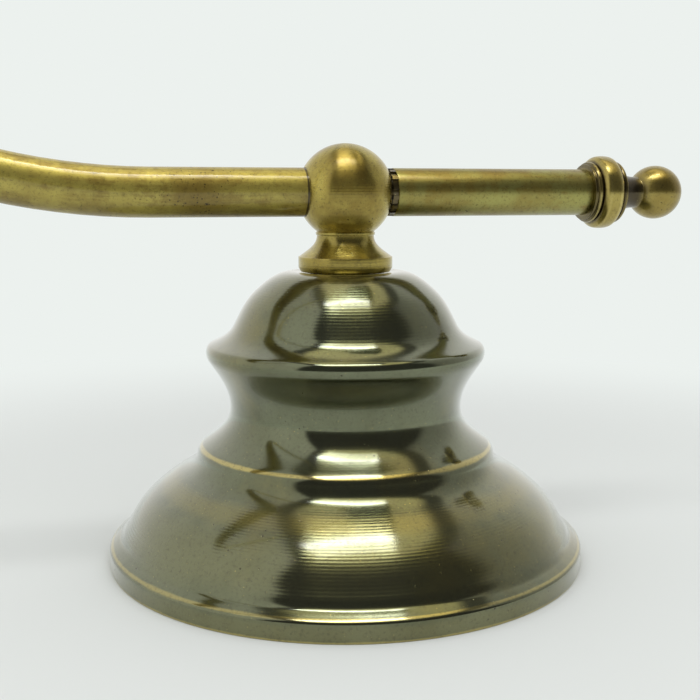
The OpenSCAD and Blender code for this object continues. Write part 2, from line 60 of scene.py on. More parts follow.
# Faces round a turned piece, round the tube, along its bend and along one stretch of a curve
TURN_STEPS = 144
TUBE_SIDES = 64
BEND_STEPS = 96
CURVE_STEPS = 10
# Length of a curve's handles, as a share of the distance between its knots
HANDLE = 0.36
# Points of a turned mesh that are closer than this, in metres, are one point
WELD = 2e-7
# Edges that turn more than this are rounded, and stay edges in the shading
SHARP = math.radians(35)


def low(node):
    """Lowest corner of a solid, in millimetres."""
    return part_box(node)[0] / MM


def high(node):
    """Highest corner of a solid, in millimetres."""
    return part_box(node)[1] / MM


# Clearances: bodies that pass each other, a turning fit, and pieces that screw together
PASS_GAP = 0.3
RUN_GAP = 0.05
SCREW_GAP = 0.02
# How far the arm goes into the ball
SOCKET_DEPTH = 1.6

# Places that the solids give
BALL_R = (high("knuckle").y - low("knuckle").y) / 2
ROD_Z = high("knuckle").z - BALL_R
FOOT_Z = low("knuckle").z
HOLDER_Z = (high("holder_skirt").z + low("holder_skirt").z) / 2
ARM_END = low("holder_cap").x
TUBE_R = (high("tail_tube").y - low("tail_tube").y) / 2
BALL_FLAT = low("star_washer").x - PASS_GAP
ARM_START = SOCKET_DEPTH - BALL_FLAT - PASS_GAP
BEND_R = (HOLDER_Z - ROD_Z) / 2
BEND_X = low("arm_tube").x + BEND_R + TUBE_R

# Radii of the threaded tubes in the canopy and in the ball, and of the lampholder's sleeve
NIPPLE_R = 5.0
PIVOT_R = 4.98
SLEEVE_R = 19.0

CANOPY_AXIS = Matrix.Identity(4)
ROD_AXIS = Matrix.Translation((0, 0, ROD_Z * MM)) @ Matrix.Rotation(math.pi / 2, 4, "Y")
HOLDER_AXIS = Matrix.Translation((ARM_END * MM, 0, HOLDER_Z * MM)) @ Matrix.Rotation(math.pi / 2, 4, "Y")

# Knots of an outline: radius, height and heading of the curve in degrees
CANOPY_KNOTS = [
    (60.0, 0.0, 90), (60.0, 4.1, 90), (59.2, 5.1, 148), (57.7, 6.05, 150), (56.0, 8.4, 124),
    (54.5, 10.8, 119), (44.0, 21.0, 147), (37.7, 27.0, 97), (35.0, 30.1, 144), (29.3, 38.3, 90),
    (34.2, 49.8, 55), (35.2, 52.3, 90), (34.1, 54.3, 155), (28.2, 58.9, 117), (22.4, 67.7, 138),
    (13.4, 72.3, 180), (6.3, 70.9, 190),
]
SHADE_KNOTS = [
    (72.0, 0.0, 90), (72.0, 2.0, 90), (70.2, 3.8, 130), (65.5, 14.0, 107), (58.0, 42.0, 113),
    (40.5, 66.0, 148), (30.0, 73.0, 132), (27.5, 78.0, 92), (24.5, 84.0, 178),
]
# Thickness of the canopy's and the shade's sheet
SHEET = 0.9


class LampSizes(bpy.types.PropertyGroup):
    """Sizes of the pieces that the solids don't give."""

    edge: FloatProperty(name="Edge rounding", description="Rounding of the turned edges",
                        default=0.22 * MM, min=0.02 * MM, max=0.6 * MM, unit="LENGTH", precision=5)
    wall: FloatProperty(name="Tube wall", description="Wall of the arm and tail tubes",
                        default=1.0 * MM, min=0.6 * MM, max=2 * MM, unit="LENGTH", precision=5)


def tint(name, description, *default):
    """A colour that a user can change."""
    return FloatVectorProperty(name=name, description=description, default=default, subtype="COLOR",
                               min=0, max=1)


class LampColours(bpy.types.PropertyGroup):
    """Colours of the finishes."""

    olive: tint("Olive brass", "Darkened brass of the canopy and the shade", 0.152, 0.166, 0.092)
    olive_deep: tint("Deep olive", "Darker clouds in the olive brass", 0.110, 0.118, 0.056)
    warm: tint("Warm brass", "Brass of knuckle, arm and lampholder", 0.53, 0.44, 0.10)
    warm_deep: tint("Deep warm brass", "Browner clouds in the warm brass", 0.275, 0.196, 0.040)
    dull: tint("Dull brass", "Greener brass of the tail", 0.38, 0.36, 0.105)
    brown: tint("Brown brass", "Browner brass of the finial", 0.41, 0.325, 0.085)
    # Gilt also paints reflections of the brass arm and foot in the canopy's gilt rings
    gilt: tint("Gilt", "Brass that shows through the olive finish", 0.29, 0.245, 0.075)
    # Worn-colour brass paints worn edges and bright flecks, and also painted highlight lines along edges and
    # shoulders
    worn_and_highlit: tint("Worn edges", "Bright brass where edges are rubbed", 0.56, 0.46, 0.15)
    # Pits and grime, and also painted shade: dark rings at the knuckle's neck, the finial's lip and neck and
    # where the arm enters the ball, and the outside of the arm's bend
    pit_and_shade: tint("Pits", "Dark spots and dirt on the brass", 0.05, 0.036, 0.018)
    enamel: tint("Enamel", "Inside of the shade", 0.80, 0.77, 0.68)
    backdrop: tint("Backdrop", "Pale ground behind the lamp", 0.84, 0.88, 0.855)
    floor: tint("Floor", "Pale floor under the lamp", 0.80, 0.83, 0.81)


class LampStage(bpy.types.PropertyGroup):
    """Light and camera of the stage."""

    core: FloatProperty(name="Overhead core", description="Power of the overhead light's bright strip",
                        default=1.1, min=0, unit="POWER")
    halo: FloatProperty(name="Overhead halo", description="Power of the overhead light's softer surround",
                        default=1.7, min=0, unit="POWER")
    fill: FloatProperty(name="Fill", description="Even light from all round",
                        default=0.84, min=0, max=2, subtype="FACTOR")
    lens: FloatProperty(name="Lens", description="Focal length on a sensor 36 mm wide",
                        default=53.685, min=20, max=200)
    heading: FloatProperty(name="Heading", description="Turn of the camera about the vertical",
                           default=math.radians(-15.861), subtype="ANGLE")
    pitch: FloatProperty(name="Pitch", description="Tilt of the camera below the horizon",
                         default=math.radians(8.572), subtype="ANGLE")


# Shapes


def bearing(degrees):
    """Direction of a heading in the plane of an outline."""
    return Vector((math.cos(math.radians(degrees)), math.sin(math.radians(degrees))))


def smooth_outline(knots, steps=CURVE_STEPS):
    """Points of the curve through knots, up to and with the last knot."""
    points = []
    for (r0, h0, a0), (r1, h1, a1) in zip(knots, knots[1:]):
        p, q = Vector((r0, h0)), Vector((r1, h1))
        reach = HANDLE * (q - p).length
        points += interpolate_bezier(p, p + reach * bearing(a0), q - reach * bearing(a1), q, steps + 1)[:-1]
    return [tuple(p.xy) for p in points] + [knots[-1][:2]]


def moved_knots(knots, distance):
    """Knots moved square to the curve, towards its left side, and kept above the base and off the axis."""
    moved = []
    for r, h, a in knots:
        side = distance * bearing(a + 90)
        moved.append((max(r + side.x, 0.0), max(h + side.y, 0.0), a))
    return moved


def ball_on_neck(radius, centre, neck_r, steps):
    """Points of a ball on the axis, from where it leaves its neck to its pole."""
    start = -math.acos(neck_r / radius)
    turn = [start + (math.pi / 2 - start) * i / steps for i in range(steps + 1)]
    return [(max(radius * math.cos(a), 0.0), centre + radius * math.sin(a)) for a in turn]


def turned(axis, *outlines):
    """A mesh turned about an axis. Each outline is (radius, distance) points and takes its own material."""
    bm = bmesh.new()
    for index, outline in enumerate(outlines):
        before = set(bm.faces)
        verts = [bm.verts.new(axis @ Vector((r * MM, 0.0, h * MM))) for r, h in outline]
        edges = [bm.edges.new(pair) for pair in zip(verts, verts[1:])]
        bmesh.ops.spin(bm, geom=verts + edges, cent=axis.translation, axis=axis.col[2].xyz, angle=math.tau,
                       steps=TURN_STEPS, use_merge=True)
        for face in set(bm.faces) - before:
            face.material_index = index
    bmesh.ops.remove_doubles(bm, verts=bm.verts[:], dist=WELD)
    bmesh.ops.recalc_face_normals(bm, faces=bm.faces[:])
    return bm


def rounded(bm, edges, width, segments):
    """Rounds some edges."""
    bmesh.ops.bevel(bm, geom=edges, offset=width, offset_type="OFFSET", segments=segments, profile=0.5,
                    affect="EDGES", clamp_overlap=True, material=-1)
    return bm


def soften(bm, width):
    """Rounds every sharp edge."""
    sharp = [e for e in bm.edges if e.is_manifold and e.calc_face_angle(0.0) > SHARP]
    return rounded(bm, sharp, width, segments=3)


def settle(bm, name, body, slot, nodes, *materials):
    """Makes the finished piece, which rides on a body and stands for its nodes."""
    for face in bm.faces:
        face.smooth = True
    for edge in bm.edges:
        edge.smooth = edge.calc_face_angle(0.0) < SHARP
    mesh = bpy.data.meshes.new(name)
    bm.to_mesh(mesh)
    bm.free()
    for material in materials:
        mesh.materials.append(material)
    piece = bpy.data.objects.new(name, mesh)
    bpy.context.scene.collection.objects.link(piece)
    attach(piece, body)
    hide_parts(*nodes)


# Finishes


class Nodes:
    """Adds nodes to a tree, fills or links their inputs and returns an output."""

    def __init__(self, tree):
        self.tree = tree

    def put(self, socket, value):
        if isinstance(value, bpy.types.NodeSocket):
            self.tree.links.new(value, socket)
        else:
            socket.default_value = value

    def add(self, kind, inputs=(), output=0, **settings):
        node = self.tree.nodes.new(kind)
        for key, value in settings.items():
            setattr(node, key, value)
        for key, value in dict(inputs).items():
            self.put(node.inputs[key], value)
        return node.outputs[output]

    def math(self, operation, *values):
        return self.add("ShaderNodeMath", enumerate(values), operation=operation)

    def times(self, a, b):
        return self.math("MULTIPLY", a, b)

    def plus(self, a, b):
        return self.math("ADD", a, b)

    def minus(self, a, b):
        return self.math("SUBTRACT", a, b)

    def most(self, a, b):
        """The larger of two values."""
        return self.math("MAXIMUM", a, b)

    def hypot(self, a, b):
        """Distance from two lengths that are square to each other."""
        return self.math("SQRT", self.plus(self.times(a, a), self.times(b, b)))

    def fade(self, value, start, end, before=0.0, after=1.0, change="SMOOTHSTEP"):
        """Changes from before to after as value goes from start to end."""
        return self.add("ShaderNodeMapRange", enumerate((value, start, end, before, after)),
                        interpolation_type=change)

    def mix(self, factor, first, second):
        first, second = (v if isinstance(v, bpy.types.NodeSocket) else (*v, 1.0) for v in (first, second))
        return self.add("ShaderNodeMix", {0: factor, 6: first, 7: second}, output=2, data_type="RGBA")

    def apart(self, vector):
        """The three parts of a vector."""
        return self.add("ShaderNodeSeparateXYZ", {0: vector}).node.outputs

    def rays(self):
        """What kind of ray meets a surface."""
        return self.add("ShaderNodeLightPath").node.outputs


class Finish(Nodes):
    """A material in the making. Scales of patterns are in cells per metre."""

    def __init__(self, name):
        self.material = bpy.data.materials.new(name)
        self.material.use_nodes = True
        super().__init__(self.material.node_tree)
        self.shader = self.tree.nodes["Principled BSDF"]

    def coordinates(self):
        return self.add("ShaderNodeTexCoord", output="Object")

    def noise(self, vector, scale, detail=2.0, rough=0.5):
        return self.add("ShaderNodeTexNoise",
                        {"Vector": vector, "Scale": scale, "Detail": detail, "Roughness": rough})

    def spots(self, vector, scale, share, radius):
        """Round spots in some cells: share of the cells that have one, and the spots' radius in cells."""
        soft = 0.05
        place = {"Vector": vector, "Scale": scale}
        distance = self.add("ShaderNodeTexVoronoi", place)
        draw = self.add("ShaderNodeSeparateColor", {0: self.add("ShaderNodeTexVoronoi", place, output=1)})
        size = self.times(self.math("LESS_THAN", draw, share), radius)
        return self.fade(self.minus(distance, size), soft, -soft)

    def bump(self, height, strength, distance):
        return self.add("ShaderNodeBump", {"Strength": strength, "Distance": distance, "Height": height})

    def set(self, **sockets):
        for name, value in sockets.items():
            self.put(self.shader.inputs[name.replace("_", " ")], value)
        return self.material


class Brass(Finish):
    """Aged brass of a turned or drawn piece, worked up in layers."""

    # How far the lines of a turned piece drift on the way round
    DRIFT = 0.02
    # How fast the lines of a drawn tube change along it
    DRAW = 0.08
    # Half width of the change at the ends of a calm range, in millimetres
    CALM_EDGE = 1

    def __init__(self, name, axis, drawn):
        super().__init__(name)
        self.colours = bpy.context.scene.lamp_colours
        self.drawn = drawn
        self.place = self.coordinates()
        parts = self.apart(self.add("ShaderNodeVectorMath", enumerate((self.place, axis.translation)),
                                    operation="SUBTRACT"))
        # Patterns turn about X where the axis runs that way, and about Z otherwise
        self.lengthwise = axis.col[2].x > 0.5
        self.along, u, self.v = parts if self.lengthwise else (parts[2], parts[0], parts[1])
        self.radius = self.hypot(u, self.v)
        turned_place = (self.radius, self.along, self.times(u, self.DRIFT))
        self.ring = self.add("ShaderNodeCombineXYZ", enumerate(self.drawn_place() if drawn else turned_place))
        self.clouds = self.noise(self.place, scale=55.0, detail=5.0, rough=0.6)

    def drawn_place(self):
        """Place in the arm's cross-section, which stays the same all along its bend."""
        x, y, z = self.apart(self.place)
        side = self.math("MINIMUM", self.minus(x, BEND_X * MM), 0.0)
        up = self.minus(z, (ROD_Z + BEND_R) * MM)
        return y, self.hypot(side, up), self.times(self.plus(x, z), self.DRAW)

    def calm_share(self, calm):
        """1 inside the calm ranges along the axis, and 0 outside them."""
        share = 0.0
        for first, last in calm:
            start = self.fade(self.along, (first - self.CALM_EDGE) * MM, (first + self.CALM_EDGE) * MM)
            end = self.fade(self.along, (last + self.CALM_EDGE) * MM, (last - self.CALM_EDGE) * MM)
            share = self.most(self.times(start, end), share)
        return share

    def tool_lines(self, pitch, quiet):
        """Height of the turning or drawing lines, which come and go in zones and fade in the calm ranges."""
        # How far lines drift on the way round, and the ripple's height, neither of which a drawn tube has
        drift, ripple = (0.0, 0.0) if self.drawn else (self.DRIFT, 0.5)
        # Height of the noise, how far it bends the ripple, and what calm ranges take off
        rough, bend, calmed = 2.5, 4.0, -0.88
        wander = self.add("ShaderNodeTexNoise", {
            "Vector": self.ring, "W": self.times(self.v, drift), "Scale": 900.0, "Detail": 4.0,
            "Roughness": 0.7}, noise_dimensions="4D")
        turns = self.times(self.minus(self.radius, self.along), math.tau / (pitch * MM))
        wave = self.math("SINE", self.math("MULTIPLY_ADD", wander, bend, turns))
        height = self.math("MULTIPLY_ADD", wander, rough, self.times(wave, ripple))
        zone = self.fade(self.noise(self.ring, scale=110.0, detail=1.0), 0.36, 0.6, before=0.3)
        zone = self.times(zone, self.math("MULTIPLY_ADD", quiet, calmed, 1.0))
        return self.times(height, zone)

    def tarnish(self, main, deep, through):
        """Deep clouds and grit in the main colour, and gilt that shows through in broad clouds."""
        grit = self.fade(self.noise(self.place, scale=1900.0), 0.5, 0.8, after=0.5)
        share = self.most(self.fade(self.clouds, 0.36, 0.7), grit)
        broad = self.noise(self.place, scale=26.0, detail=6.0, rough=0.62)
        tone = self.mix(share, main, deep)
        return self.mix(self.fade(broad, 0.47, 0.68, after=through), tone, self.colours.gilt)

    def mottle(self, tone, deep):
        """Blotches along a drawn tube, and painted shade on the outside of its bend, which along the rod is
        its underside.
        """
        blotch = self.plus(self.noise(self.ring, scale=420.0, detail=5.0, rough=0.65),
                           self.noise(self.place, scale=240.0, detail=5.0, rough=0.7))
        tone = self.mix(self.fade(blotch, 0.94, 1.26, after=0.85), tone, deep)
        # Painted shade, darker towards the outside of the bend
        inwards = self.minus(BEND_R * MM, self.apart(self.ring)[1])
        painted_shade = self.fade(inwards, -0.3 * TUBE_R * MM, -TUBE_R * MM, after=0.25)
        return self.mix(painted_shade, tone, self.colours.pit_and_shade)

    def mark_rings(self, tone, marks):
        """Uneven rings of colour round the axis."""
        uneven = self.fade(self.clouds, 0.3, 0.7, before=0.7, after=1.3)
        for mark_r, mark_h, width, strength, colour in marks:
            gap = self.hypot(self.minus(self.radius, mark_r * MM),
                             self.minus(self.along, mark_h * MM))
            part = self.times(self.math("DIVIDE", gap, width * MM), uneven)
            tone = self.mix(self.fade(part, 1.0, 0.25, after=strength), tone, colour)
        return tone

    def shaken_place(self):
        """Place shaken by a fine noise, so that spots aren't round."""
        reach = 0.6 * MM
        shake = self.add("ShaderNodeTexNoise", {"Vector": self.place, "Scale": 1500.0}, output=1)
        return self.add("ShaderNodeVectorMath", enumerate((shake, (reach, reach, reach), self.place)),
                        operation="MULTIPLY_ADD")

    def pitting(self, shaken, pits):
        """Fine and coarse pits, in patches."""
        patch = self.fade(self.noise(self.place, scale=42.0, detail=3.0), 0.5, 0.62)
        fine = self.spots(shaken, scale=1100.0, share=pits, radius=0.2)
        coarse = self.spots(shaken, scale=420.0, share=pits * 0.7, radius=0.12)
        return self.times(patch, self.most(fine, coarse))

    def soil(self, tone, shaken, pitted):
        """Dark pits, bright flecks and a film of grime."""
        tone = self.mix(self.times(pitted, 0.8), tone, self.colours.pit_and_shade)
        flecks = self.most(self.spots(shaken, scale=760.0, share=0.1, radius=0.1),
                           self.spots(shaken, scale=1300.0, share=0.16, radius=0.13))
        tone = self.mix(self.times(flecks, 0.5), tone, self.colours.worn_and_highlit)
        grime = self.fade(self.noise(self.place, scale=1400.0, detail=3.0, rough=0.7), 0.5, 0.72, after=0.4)
        return self.mix(grime, tone, self.colours.pit_and_shade)

    def scratches(self, grain):
        """Long thin scratches in one slanted direction."""
        streak = self.add("ShaderNodeMapping",
                          {"Vector": self.place, "Rotation": (0.3, 0.5, 0.9), "Scale": (30, 900, 900)})
        return self.times(self.fade(self.noise(streak, scale=1.0), 0.66, 0.72), grain)


def brass(name, axis, main, deep, marks=(), lines=1.0, pitch=1.4, calm=(), pits=0.25, rough=0.2, stretch=0.9,
          grain=0.0, drawn=False, coat=1.0, lacquer=0.11, through=0.0):
    """Aged brass with turning or drawing lines, tarnish clouds, dark pits, scratches and marks in rings.

    A mark is its radius, its place along the axis and its half width in millimetres, its strength and its
    colour. Lines is the strength of the tool's lines, and pitch their spacing in millimetres. They fade in
    the calm ranges along the axis, and follow the bend of a drawn tube. Pits is the share of cells with a
    pit, rough the roughness, and stretch how far highlights smear across the lines. Grain is the strength of
    scratches, coat the share of clear lacquer, lacquer its roughness, and through how far gilt shows through.
    """
    metal = Brass(name, axis, drawn)
    quiet = metal.calm_share(calm)
    shaken = metal.shaken_place()
    pitted = metal.pitting(shaken, pits)
    scratch = metal.scratches(grain)
    tone = metal.tarnish(main, deep, through)
    if drawn:
        tone = metal.mottle(tone, deep)
    tone = metal.soil(metal.mark_rings(tone, marks), shaken, pitted)
    # Clouds, pits and scratches make the brass rougher, and calm ranges are smoother
    polish = metal.fade(metal.clouds, 0.3, 0.75, rough - 0.02, rough + 0.06)
    polish = metal.plus(polish, metal.times(metal.most(pitted, scratch), 0.3))
    polish = metal.math("MULTIPLY_ADD", quiet, -0.04, polish)
    relief = metal.times(metal.tool_lines(pitch, quiet), lines)
    relief = metal.minus(relief, metal.times(pitted, 2.0))
    relief = metal.minus(relief, scratch)
    spin = metal.add("ShaderNodeTangent", axis="X" if metal.lengthwise else "Z", direction_type="RADIAL")
    return metal.set(Base_Color=tone, Metallic=1.0, Roughness=polish, Anisotropic=stretch,
                     Anisotropic_Rotation=0.25, Tangent=spin, Coat_Weight=coat, Coat_Roughness=lacquer,
                     Normal=metal.bump(relief, strength=1.0, distance=0.02 * MM))


def steel(name, main, deep, rough):
    """Plated steel with a spangle and fine rubbing marks."""
    finish = Finish(name)
    place = finish.coordinates()
    cells = finish.add("ShaderNodeTexVoronoi", {"Vector": place, "Scale": 420.0}, output=1)
    spangle = finish.times(finish.add("ShaderNodeSeparateColor", {0: cells}), 0.3)
    clouds = finish.noise(place, scale=90.0, detail=4.0)
    tone = finish.mix(finish.fade(finish.plus(clouds, spangle), 0.4, 0.9), main, deep)
    streak = finish.add("ShaderNodeMapping", {"Vector": place, "Scale": (1800, 1800, 60)})
    rubbing = finish.noise(streak, scale=1.0)
    polish = finish.fade(clouds, 0.3, 0.7, rough, rough + 0.15)
    return finish.set(Base_Color=tone, Metallic=1.0, Roughness=polish,
                      Normal=finish.bump(rubbing, strength=0.2, distance=0.03 * MM))


def glaze(name, main, deep, speck, scale, rough, coat):
    """Glossy enamel, porcelain or resin with clouds, specks and a faint waviness."""
    finish = Finish(name)
    place = finish.coordinates()
    clouds = finish.noise(place, scale, detail=4.0, rough=0.6)
    tone = finish.mix(finish.fade(clouds, 0.35, 0.7), main, deep)
    specks = finish.spots(place, scale=500.0, share=0.12, radius=0.14)
    tone = finish.mix(finish.times(specks, 0.6), tone, speck)
    polish = finish.fade(clouds, 0.3, 0.7, rough, rough + 0.1)
    return finish.set(Base_Color=tone, Roughness=polish, Coat_Weight=coat, Coat_Roughness=0.06,
                      Normal=finish.bump(clouds, strength=0.15, distance=0.1 * MM))


def sheath(name):
    """Black sheath of the inner lead with a fine braid."""
    finish = Finish(name)
    place = finish.coordinates()
    strands = []
    for turn in (0.7, -0.7):
        slant = finish.add("ShaderNodeMapping", {"Vector": place, "Rotation": (turn, turn, 0.0)})
        wave = {"Vector": slant, "Scale": 420.0, "Distortion": 0.6}
        strands.append(finish.add("ShaderNodeTexWave", wave, output=1))
    weave = finish.most(*strands)
    tone = finish.mix(weave, (0.012, 0.012, 0.012), (0.045, 0.043, 0.04))
    return finish.set(Base_Color=tone, Roughness=finish.fade(weave, 0.0, 1.0, 0.75, 0.5),
                      Normal=finish.bump(weave, strength=0.4, distance=0.1 * MM))


def glass(name):
    """Clear bulb glass with a little dust."""
    finish = Finish(name)
    dust = finish.noise(finish.coordinates(), scale=160.0, detail=5.0, rough=0.6)
    tone = finish.mix(finish.fade(dust, 0.45, 0.75), (0.99, 0.99, 0.98), (0.93, 0.93, 0.90))
    return finish.set(Base_Color=tone, Roughness=finish.fade(dust, 0.45, 0.8, after=0.08), IOR=1.5,
                      Transmission_Weight=1.0)


# Pieces


def settings(context):
    """The sizes and the colours that a user can change."""
    return context.scene.lamp_sizes, context.scene.lamp_colours


class LampPiece:
    """What the lamp's operators have in common."""

    bl_options = {"REGISTER", "UNDO"}


class LAMP_OT_canopy(LampPiece, bpy.types.Operator):
    """Spins the stepped bell canopy with its rounded rim"""

    bl_idname = "wall_lamp.canopy"
    bl_label = "Canopy"

    def execute(self, context):
        sizes, colours = settings(context)
        top = CANOPY_KNOTS[-1][1]
        hole = NIPPLE_R + PASS_GAP
        outer = smooth_outline(CANOPY_KNOTS) + [(hole, top)]
        inner = smooth_outline(moved_knots(CANOPY_KNOTS, SHEET))
        bm = turned(CANOPY_AXIS, outer, [outer[0]] + inner + [(hole, top - SHEET), (hole, top)])
        soften(bm, sizes.edge)
        # Rings of gilt and of worn-colour brass: radius, height, half width and strength. The gilt rings at
        # the ledge, the bell and the dome's top are painted reflections of the brass arm and foot, and the
        # one on the rim band is plain gilt. The worn-colour rings at the lip, the rim's foot and the step are
        # worn edges and also painted highlight lines.
        bared_and_reflected = [(44.5, 20.0, 4.5, 0.4), (52.0, 13.0, 9.0, 0.15), (13.0, 72.0, 9.0, 0.3),
                 (60.0, 2.0, 3.0, 0.25)]
        rubbed_and_highlit = [(59.4, 5.0, 0.6, 0.5), (60.0, 0.2, 0.5, 0.6), (36.8, 28.7, 0.85, 0.8)]
        marks = [(*mark, colours.gilt) for mark in bared_and_reflected] + [(*mark, colours.worn_and_highlit) for mark in rubbed_and_highlit]
        skin = brass("canopy_brass", CANOPY_AXIS, colours.olive, colours.olive_deep, marks, lines=0.7,
                     pitch=1.1, calm=((-1, 8), (22.5, 57)), pits=0.06, rough=0.155, through=0.4)
        back = brass("canopy_inside", CANOPY_AXIS, colours.olive_deep, colours.pit_and_shade, rough=0.42)
        settle(bm, "canopy", "canopy", "canopy_brass", ["canopy_shell"], skin, back)
        return {"FINISHED"}


class LAMP_OT_knuckle(LampPiece, bpy.types.Operator):
    """Turns the ball knuckle with its neck and foot, and cuts its flat side and its socket"""

    bl_idname = "wall_lamp.knuckle"
    bl_label = "Knuckle"

    # Depth of the rod's bore, and an inset just wide enough to sink a face, in millimetres
    BORE_DEPTH = 3.0
    HAIR = 0.001

    def execute(self, context):
        sizes, colours = settings(context)
        foot_r, seat_r, cone, face, rim = 11.8, 5.8, 2.1, 2.8, 0.2
        heel_r, heel = 11.2, 1.05
        neck_r, bead, bead_h = 7.15, 0.25, 1.0
        bore_r, pivot_r = NIPPLE_R + RUN_GAP, PIVOT_R + RUN_GAP
        foot_top = FOOT_Z + cone + face
        ball = ball_on_neck(BALL_R, ROD_Z, neck_r, steps=48)
        neck_z = ball[0][1]
        bore_top = ROD_Z - pivot_r
        outline = [(0.0, bore_top), (bore_r, bore_top), (bore_r, FOOT_Z), (seat_r, FOOT_Z)]
        outline += [(heel_r, FOOT_Z + heel), (foot_r, FOOT_Z + cone), (foot_r, foot_top - rim)]
        flare = [(foot_r - 2 * rim, foot_top, 142), (neck_r, neck_z - bead_h, 90)]
        outline += smooth_outline(flare, steps=14)
        outline += [(neck_r + bead, neck_z - bead_h + bead), (neck_r + bead, neck_z - bead)]
        bm = turned(CANOPY_AXIS, outline + ball)
        socket_r = TUBE_R + RUN_GAP
        socket_x = math.sqrt(BALL_R ** 2 - socket_r ** 2)
        flat_r = math.sqrt(BALL_R ** 2 - BALL_FLAT ** 2)
        bore = (self.HAIR, -self.BORE_DEPTH)
        socket = (self.HAIR, BALL_FLAT - SOCKET_DEPTH - socket_x)
        self.cut(bm, BALL_FLAT, 1.0, [(flat_r - pivot_r, 0.0), bore])
        self.cut(bm, socket_x, -1.0, [socket, (socket_r - pivot_r, 0.0), bore])
        soften(bm, sizes.edge)
        # The dark ring at the neck under the ball and the browner foot band are painted shade; the ring at
        # the foot's top edge is lighter worn-colour brass
        marks = [(neck_r, neck_z - 3.0, 5.0, 0.25, colours.pit_and_shade),
                 (foot_r, FOOT_Z + cone + face / 2, 2.6, 0.5, colours.warm_deep),
                 (foot_r, foot_top, 0.6, 0.3, colours.worn_and_highlit)]
        skin = brass("knuckle_brass", CANOPY_AXIS, colours.warm, colours.warm_deep, marks, lines=0.9,
                     pitch=0.7, pits=0.12, rough=0.25, stretch=0.8, coat=0.4, lacquer=0.16)
        settle(bm, "knuckle_ball", "knuckle", "knuckle_brass", ["knuckle"], skin)
        return {"FINISHED"}

    @staticmethod
    def cut(bm, x, side, steps):
        """Cuts the ball square to the rod, and sinks the cut face in steps of inset and depth."""
        # Nothing below the ball takes part in the cut
        ball_low = ROD_Z - 0.7 * BALL_R
        near = [v for v in bm.verts if v.co.z > ball_low * MM]
        parts = set(near) | {e for v in near for e in v.link_edges} | {f for v in near for f in v.link_faces}
        made = bmesh.ops.bisect_plane(bm, geom=list(parts), plane_co=(side * x * MM, 0, ROD_Z * MM),
                                      plane_no=(side, 0, 0), dist=WELD / 2, clear_outer=True)
        rim = [g for g in made["geom_cut"] if isinstance(g, bmesh.types.BMEdge)]
        faces = bmesh.ops.edgeloop_fill(bm, edges=rim)["faces"]
        if len(faces) != 1:
            raise RuntimeError("the ball's side did not close")
        bmesh.ops.recalc_face_normals(bm, faces=bm.faces[:])
        for inset, depth in steps:
            bmesh.ops.inset_individual(bm, faces=faces, thickness=inset * MM, depth=depth * MM,
                                       use_even_offset=True)


class LAMP_OT_arm(LampPiece, bpy.types.Operator):
    """Draws the swan-neck tube out of the ball, round its half circle and into the lampholder"""

    bl_idname = "wall_lamp.arm"
    bl_label = "Swan-neck arm"

    def execute(self, context):
        sizes, colours = settings(context)
        bm = bmesh.new()
        place = Matrix.Translation((ARM_START * MM, 0, ROD_Z * MM)) @ Matrix.Rotation(-math.pi / 2, 4, "Y")
        for radius in (TUBE_R * MM, TUBE_R * MM - sizes.wall):
            bmesh.ops.create_circle(bm, cap_ends=False, segments=TUBE_SIDES, radius=radius, matrix=place)
        ring = bm.edges[:]
        bmesh.ops.bridge_loops(bm, edges=ring)
        ring = self.pull(bm, ring, (BEND_X - ARM_START) * MM)
        turn = bmesh.ops.spin(bm, geom=ring, cent=(BEND_X * MM, 0, (ROD_Z + BEND_R) * MM), axis=(0, 1, 0),
                              angle=math.pi, steps=BEND_STEPS)
        ring = [g for g in turn["geom_last"] if isinstance(g, bmesh.types.BMEdge)]
        ring = self.pull(bm, ring, (ARM_END - BEND_X) * MM)
        bmesh.ops.bridge_loops(bm, edges=ring)
        bmesh.ops.recalc_face_normals(bm, faces=bm.faces[:])
        # Painted shade: a dark ring where the tube goes into the ball
        socket_shade = (TUBE_R, -10.7, 0.4, 0.9, colours.pit_and_shade)
        skin = brass("arm_brass", ROD_AXIS, colours.warm, colours.warm_deep, [socket_shade], lines=0.5,
                     pits=0.5, rough=0.53, stretch=0.0, grain=0.6, drawn=True, coat=0.7, lacquer=0.12)
        settle(bm, "swan_neck", "arm", "arm_brass", ["arm_tube"], skin)
        return {"FINISHED"}

    @staticmethod
    def pull(bm, ring, length):
        """Draws a ring of edges out along X and returns the new ring."""
        made = bmesh.ops.extrude_edge_only(bm, edges=ring)["geom"]
        verts = [g for g in made if isinstance(g, bmesh.types.BMVert)]
        bmesh.ops.translate(bm, verts=verts, vec=(length, 0, 0))
        return [g for g in made if isinstance(g, bmesh.types.BMEdge)]


class LAMP_OT_tail(LampPiece, bpy.types.Operator):
    """Turns the straight tail tube"""

    bl_idname = "wall_lamp.tail"
    bl_label = "Tail tube"

    def execute(self, context):
        sizes, colours = settings(context)
        first, last = low("tail_tube").x, high("tail_tube").x
        bore = TUBE_R - sizes.wall / MM
        outer = [(bore, first), (TUBE_R, first), (TUBE_R, last), (bore, last)]
        bm = soften(turned(ROD_AXIS, outer, [outer[-1], outer[0]]), sizes.edge)
        skin = brass("tail_brass", ROD_AXIS, colours.dull, colours.warm_deep, lines=0.5, pits=0.3, rough=0.38,
                     stretch=0.0, grain=0.4, drawn=True, coat=0.4, lacquer=0.2)
        settle(bm, "tail", "arm", "arm_brass", ["tail_tube"], skin, skin)
        return {"FINISHED"}


